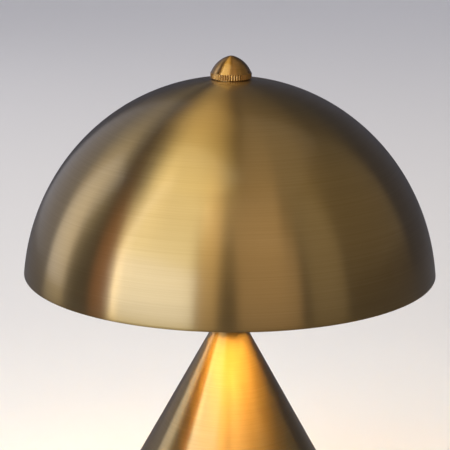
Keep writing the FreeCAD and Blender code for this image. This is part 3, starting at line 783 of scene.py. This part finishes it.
# %% Bend the saddle and turn the ferrules
strip_thickness, strip_width, strip_bend = 2.0, 14.0, 2.0
saddle_low, saddle_high = span("harp_saddle")
flat_half, tab_start = 15.0, 25.0
collar_radius, collar_height, stub_height = 4.5, 5.0, 7.0
tab_top = saddle_high[2] - stub_height - collar_height
mid_low, mid_high = saddle_low[2] + strip_thickness / 2, tab_top - strip_thickness / 2
strip_path = bent_path([(-saddle_high[0], mid_high), (-tab_start, mid_high), (-flat_half, mid_low),
                        (flat_half, mid_low), (tab_start, mid_high), (saddle_high[0], mid_high)],
                       [strip_bend] * 4, step=0.6)


def post_profile():
    """A collar and a stub as thick as the wire."""
    edge, foot, shoulder, top = 0.4, tab_top - 0.5, tab_top + collar_height, saddle_high[2]
    return joined((0, foot), (collar_radius, foot),
                  corner((collar_radius - edge, shoulder - edge), edge, 0), (wire_radius, shoulder),
                  corner((wire_radius - edge, top - edge), edge, 0), (0, top))


posts = [turned(post_profile(), 48, at=(side * harp_foot_x, 0, 0)) for side in (-1, 1)]
strip = carried(strip_path, strip_section(strip_thickness, strip_width))
dress("bent_saddle", grid_mesh("bent_saddle", strip, *posts), "harp_saddle")


def ferrule_profile(low, high):
    """A tube with a bead round its lower end and a tapered mouth."""
    inner, outer = wire_radius + 0.15, 4.2
    return joined((inner, low), corner((outer - 0.4, low + 0.4), 0.4, 270), (outer, low + 2.0),
                  (outer - 0.35, low + 2.4), run((outer - 0.35, high - 3.0), (outer - 0.9, high - 0.5)),
                  (outer - 1.2, high), (inner, high))


for side, name in ((-1, "harp_sleeve_left"), (1, "harp_sleeve_right")):
    low, high = span(name)
    grid = turned(ferrule_profile(low[2], high[2]), 64, at=(side * harp_foot_x, 0, 0))
    dress(name.replace("harp_sleeve", "ferrule"), grid_mesh(name, grid), name)


# %% [markdown]
# ## The dish and the socket
# The dish under the socket is one more small spinning. The socket's cup and shell are pressed
# from thin sheet: the cup flares from its threaded hub, and the shell slides into it and has a
# hole for the turn key. Inside, the screw shell has its thread rolled into the sheet.

# %% Spin the dish and press the socket
dish_wall, dish_corner = 1.0, 1.6


def dish_profile():
    """Flat floor, a bend, and a short upright side with a rounded lip."""
    low, high = span("socket_dish")
    wide = high[0]
    bend = (wide - dish_corner, low[2] + dish_corner)
    lip = dish_wall / 2 - 0.05
    lip_z = high[2] - lip
    return joined((tube_hole, low[2]), corner(bend, dish_corner, 270, 8),
                  corner((wide - lip, lip_z), lip, 0), corner((wide - dish_wall + lip, lip_z), lip, 90),
                  corner(bend, dish_corner - dish_wall, 270, 6)[::-1], (tube_hole, low[2] + dish_wall))


def cup_profile():
    """Hub, flare and upright side of the socket's lower cup, with a bead round its mouth."""
    low, high = span("socket_cap")
    wide, wall = high[0], 0.8
    hub, hub_top, flare_top = 8.0, low[2] + 8.0, low[2] + 13.0
    flare = run((hub, hub_top), (wide - 1.2, flare_top - 0.3), 5)
    return joined((tube_hole, low[2]), corner((hub - 0.5, low[2] + 0.5), 0.5, 270), flare,
                  arc((wide - 1.2, flare_top + 0.9), (1.2, 1.2), 290, 360, 5),
                  run((wide, high[2] - 2.2), (wide - 0.3, high[2] - 1.8)), (wide - 0.3, high[2] - 1.2),
                  corner((wide - 0.4, high[2] - 0.4), 0.4, 0), (wide - wall, high[2]),
                  (wide - wall, flare_top), (hub, hub_top + wall), (tube_hole, hub_top + wall))


def shell_profile():
    """A plain thin tube with a rolled lip."""
    low, high = span("socket_shell")
    return ring_profile(high[0] - 0.7, high[0], low[2], high[2], 0.3)


screw_low, screw_high = span("screw_shell")
key_z = (span("switch_key")[0][2] + span("switch_key")[1][2]) / 2
key_hole, key_reach = 3.0, (10, 25)           # the drill's radius, and its ends in front of the axis
key_rod = rod_profile(key_hole, *key_reach, drill_edge)
key_drill = grid_mesh("key_drill", turned(key_rod, 32, at=(0, 0, key_z), lie=TO_FRONT))
bulb_pitch, roll_depth = 3.62, 0.4
roll_foot, roll_least = 3.0, 13.0             # the thread starts above the floor, on the wall only


def rolled(angle, r, h):
    """Ripple outwards of the rolled thread: depth (1/2 + 1/2 cos(2 pi h / pitch - a))."""
    there = np.clip((h - screw_low[2] - roll_foot) / bulb_pitch, 0, 1) * (r > roll_least)
    return roll_depth * there * (0.5 + 0.5 * np.cos(FULL_TURN * h / bulb_pitch - angle))


def screw_shell_profile():
    """A cup: its wall in 60 steps inside and out, and a floor with a round hole."""
    outer, wall, hole = screw_high[0], 0.6, 6.0
    low, high = screw_low[2], screw_high[2]
    return joined((hole, low), (outer - 0.5, low), run((outer, low + 0.5), (outer, high), 60),
                  run((outer - wall, high), (outer - wall, low + wall), 60), (hole, low + wall))


dress("spun_dish", grid_mesh("spun_dish", turned(dish_profile(), 200)), "socket_dish")
dress("pressed_cup", grid_mesh("pressed_cup", turned(cup_profile(), 128)), "socket_cap")
dress("pressed_shell", drilled(grid_mesh("pressed_shell", turned(shell_profile(), 128)), key_drill),
      "socket_shell")
dress("rolled_screw_shell", grid_mesh("rolled_screw_shell", turned(screw_shell_profile(), 96, rolled)),
      "screw_shell", sharp=60)


# %% [markdown]
# ## The turn key
# The switch is worked by a flat key moulded in black phenolic, on a brass shaft. Its blade is a
# slab with soft edges: half its width and half its thickness each follow a superellipse along its
# length, and so does its section. A round hub holds it on the shaft.

# %% Mould the key
def blade(low, high, width, thickness, count=48, steps=40):
    """Grid of a rounded slab that lies along -Y: at the way t from -1 to 1, the section is
    |x / X|^4 + |z / Z|^4 = 1, with X and Z shrunk by (1 - t^6)^(1/6) at the ends."""
    t = np.sin(np.linspace(-math.pi / 2, math.pi / 2, steps))[None]
    a = np.linspace(0, FULL_TURN, count, endpoint=False)[:, None]
    round_off = (1 - t ** 6) ** (1 / 6)
    x = np.sign(np.cos(a)) * np.abs(np.cos(a)) ** 0.5 * thickness / 2 * round_off
    z = np.sign(np.sin(a)) * np.abs(np.sin(a)) ** 0.5 * width / 2 * round_off
    y = np.broadcast_to((low + high) / 2 + (high - low) / 2 * t, x.shape)
    return np.stack([x, y, z + key_z], -1), np.linspace(0, abs(high - low), steps), False


key_low, key_high = span("switch_key")
hub_near, hub_radius, hub_length = -key_high[1], 3.4, 5.0
blade_near, blade_thickness = hub_near + hub_length / 2, 3.6
key_blade = blade(-blade_near, key_low[1], key_high[2] - key_low[2], blade_thickness)
hub_rod = rod_profile(hub_radius, hub_near, hub_near + hub_length, 0.5)
key_hub = turned(hub_rod, 48, at=(0, 0, key_z), lie=TO_FRONT)
dress("moulded_key", grid_mesh("moulded_key", key_blade, key_hub), "switch_key", sharp=60)

shaft_radius = 1.5
shaft_low, shaft_high = span("switch_shaft")
shaft_rod = rod_profile(shaft_radius, -shaft_high[1], -shaft_low[1], 0.2)
shaft = turned(shaft_rod, 32, at=(0, 0, key_z), lie=TO_FRONT)
dress("turned_shaft", grid_mesh("turned_shaft", shaft), "switch_shaft")


# %% [markdown]
# ## The bulb
# The bulb is a globe that runs down a hollow curve into its screw cap. The cap is thin sheet with
# the thread rolled in, and below it are the black glass insulator and a drop of solder.

# %% Blow the bulb and roll its cap
globe_radius = 30.0
glass_low, glass_high = span("bulb_glass")
cap_low, cap_high = span("bulb_cap")
tip_low, tip_high = span("bulb_contact")
tip_top = tip_high[2] - 0.05         # a hair's gap, so that no two faces lie in one plane
solder_radius = 4.6
cap_crest, cap_root, cap_wall = cap_high[0], 12.25, 0.6
cap_lip, cap_fade = 1.5, 2.0         # plain height at the top, and where the thread fades out
bulb_neck, bulb_stem = 13.0, 11.5    # the glass over the cap, and inside it
insulator_foot = 4.8


def globe_profile():
    """Ball of radius R, met by an arc that is hollow and upright at the neck."""
    ball_z = glass_high[2] - globe_radius
    rise = ball_z - cap_high[2]
    hollow = (bulb_neck ** 2 + rise ** 2 - globe_radius ** 2) / 2 / (globe_radius - bulb_neck)
    lean = math.degrees(math.atan2(rise, bulb_neck + hollow))
    return joined((0, glass_low[2]), (bulb_stem, glass_low[2]), (bulb_stem, cap_high[2] - 0.3),
                  (bulb_neck, cap_high[2]),
                  arc((bulb_neck + hollow, cap_high[2]), (hollow, hollow), 180, 180 - lean, 24),
                  arc((0, ball_z), (globe_radius, globe_radius), -lean, 90, 64)[:-1],
                  (0, glass_high[2]))


def cap_profile():
    """The cap's wall in fine steps for its thread, its open foot, and the inside."""
    low, high = cap_low[2], cap_high[2]
    inner = cap_root - cap_wall
    return joined(run((cap_crest, low), (cap_crest, high), 90), run((inner, high), (inner, low)))


def cap_thread(angle, r, h):
    """Ripple inwards from the crest: depth (1/2 - 1/2 cos(2 pi h / pitch - a)), and full depth
    at both ends of the cap."""
    depth = cap_crest - cap_root
    there = np.clip((h - cap_low[2]) / cap_fade, 0, 1)
    there = there * np.clip((cap_high[2] - cap_lip - h) / cap_fade, 0, 1)
    wave = 0.5 - 0.5 * np.cos(FULL_TURN * h / bulb_pitch - angle)
    return -depth * (1 - there + there * wave) * (r > cap_root)


def insulator_profile():
    """A shallow black cone with a rounded foot."""
    low, high = (end[2] for end in span("bulb_insulator"))
    side = arc((insulator_foot, high), (cap_root - insulator_foot, high - low), 290, 350, 8)
    return joined((0, low), (insulator_foot, low), side, (cap_root, high), (0, high))


def solder_profile():
    """Half of a flat drop: r = a cos t, h = h0 + b sin t, t from 275 to 360 degrees."""
    drop = arc((0, tip_top), (solder_radius, tip_top - tip_low[2]), 275, 360, 12)
    return joined((0, tip_low[2]), drop, (0, tip_top))


dress("blown_bulb", grid_mesh("blown_bulb", turned(globe_profile(), 128)), "bulb_glass")
dress("rolled_cap", grid_mesh("rolled_cap", turned(cap_profile(), 96, cap_thread)), "bulb_cap", sharp=60)
dress("insulator", grid_mesh("insulator", turned(insulator_profile(), 64)), "bulb_insulator")
dress("solder_tip", grid_mesh("solder_tip", turned(solder_profile(), 48)), "bulb_contact")


# %% [markdown]
# ## The floor
# The lamp stands on a plain pale floor. Far out it curves up into a wall on every side, as a
# studio's cove does, so there is no line where it ends. It is one more turned profile, with its
# upper side to the light. Brass would mirror all that pale floor and lose its colour. Black cloth
# laid just out of the picture prevents that, and here metal is simply shown a darker floor.

# %% Lay the floor
cove_radius, cove_bend, cove_top = 4200.0, 1400.0, 3200.0


def cove_profile():
    """Flat floor, a quarter circle, and an upright wall."""
    bend = corner((cove_radius, cove_bend), cove_bend, 270, 24)
    return joined(run((0, 0), (cove_radius, 0), 12), bend, (cove_radius + cove_bend, cove_top))


points, along, _ = turned(cove_profile()[::-1], 96)
floor = bpy.data.objects.new("floor", grid_mesh("floor", (points, along, False)))
scene.collection.objects.link(floor)
floor.data.shade_smooth()
material, tree = begin("matt_floor")
in_metal = add(tree, "LightPath").outputs["Is Glossy Ray"]
paint = between(tree, in_metal, "ECEBED", "626268")      # as the eye sees it, and as metal shows it
close(tree, Base_Color=paint, Roughness=0.9, Specular_IOR_Level=0.1)
floor.data.materials.append(material)
floor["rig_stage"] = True


# %% [markdown]
# ## The light
# Polished metal is a mirror with no picture of its own: what it shows is the room. Each bright
# streak on the dome is a softbox, and the dark parts are where there is none. So the lights are
# set out as a photographer would set them, by the direction in which the dome shows them.
# A direction is two angles: round the lamp from the camera, and up from the floor. The walls of
# the room light the floor evenly and, like the floor, are shown darker to metal.
# These directions, sizes, strengths and tints aren't a known studio's. A least-squares fit of
# strips of light to the tones that the photograph shows on the dome gave a first estimate. Its
# strips were merged into these fourteen lamps, which were then corrected by comparing renders.

# %% Set out the softboxes
scene.view_settings.view_transform = "Standard"
lights_away = 2600.0          # mm from the lamp
room_light = 0.52             # brightness of the room's walls, as dull things receive it
room_in_metal = 0.08          # the same walls, as metal shows them
lit_point = np.array((0, 0, 240.0))


def softbox(name, aside, over, wide, tall, glow, tint):
    """A flat lamp in the direction (aside, over) and of the seen size (wide, tall), in degrees.
    Its power is glow times pi times its area, so its face is as bright as glow times white."""
    round_by, up_by = math.radians(aside), math.radians(over)
    towards = np.array((math.sin(round_by) * math.cos(up_by), -math.cos(round_by) * math.cos(up_by),
                        math.sin(up_by)))
    lamp = bpy.data.lights.new(name, "AREA")
    lamp.shape = "RECTANGLE"
    half_wide, half_tall = (math.tan(math.radians(seen) / 2) for seen in (wide, tall))
    lamp.size, lamp.size_y = (2 * lights_away * MM * half for half in (half_wide, half_tall))
    lamp.energy = glow * math.pi * lamp.size * lamp.size_y
    lamp.color = linear(tint)[:3]
    lamp_object = bpy.data.objects.new(name, lamp)
    scene.collection.objects.link(lamp_object)
    facing = Vector(towards).to_track_quat("Z", "Y").to_matrix().to_4x4()
    stand = Vector((lit_point + towards * lights_away) * MM)
    lamp_object.matrix_world = Matrix.Translation(stand) @ facing
    lamp_object.visible_camera = False
    print(f"{name}: {lamp.size:.2f} x {lamp.size_y:.2f} m, {lamp.energy:.0f} W")


softbox("window_low", -42, 4, 47, 36, 3.5, "DCE8FF")
softbox("window_high", -42, 38, 38, 33, 1.3, "FFFFED")
softbox("window_edge", -63.5, 26, 1.6, 68, 7.0, "FFFAF0")
softbox("warm_edge", -73, 14, 12, 42, 0.45, "FFB060")
softbox("window_side", -12, 25, 11, 60, 0.85, "FFE7BC")
softbox("front_low", 21, 12, 34, 50, 0.6, "FFE4C0")
softbox("front_high", 10, 48, 38, 26, 0.65, "FFE4C0")
softbox("right_near", 54, 22, 22, 54, 0.3, "FFF1D2")
softbox("right_far", 94, 30, 54, 46, 0.16, "FFE7B0")
softbox("side", -108, 18, 19, 50, 1.25, "F6F8FF")
softbox("side_far", -138, 22, 38, 60, 0.26, "F0F2FF")
softbox("over_left", -48, 67, 36, 28, 1.7, "FFF7CC")
softbox("over_back", -155, 67, 20, 26, 0.8, "FFD789")
softbox("over_right", 90, 70, 50, 30, 0.35, "FFEBC8")

world = bpy.data.worlds.new("room")
scene.world = world
world.use_nodes = True
tree = world.node_tree
tree.nodes.clear()
in_metal = add(tree, "LightPath").outputs["Is Glossy Ray"]
strength = between(tree, in_metal, room_light, room_in_metal)
background = add(tree, "Background", {"Color": linear("F2F4FF"), "Strength": strength})
add(tree, "OutputWorld", {"Surface": background.outputs[0]})


# %% [markdown]
# ## The sizes
# The last step reads the box of the lamp as it is dressed, in metres, leaving the floor out.

# %% Read the dressed size
low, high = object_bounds()
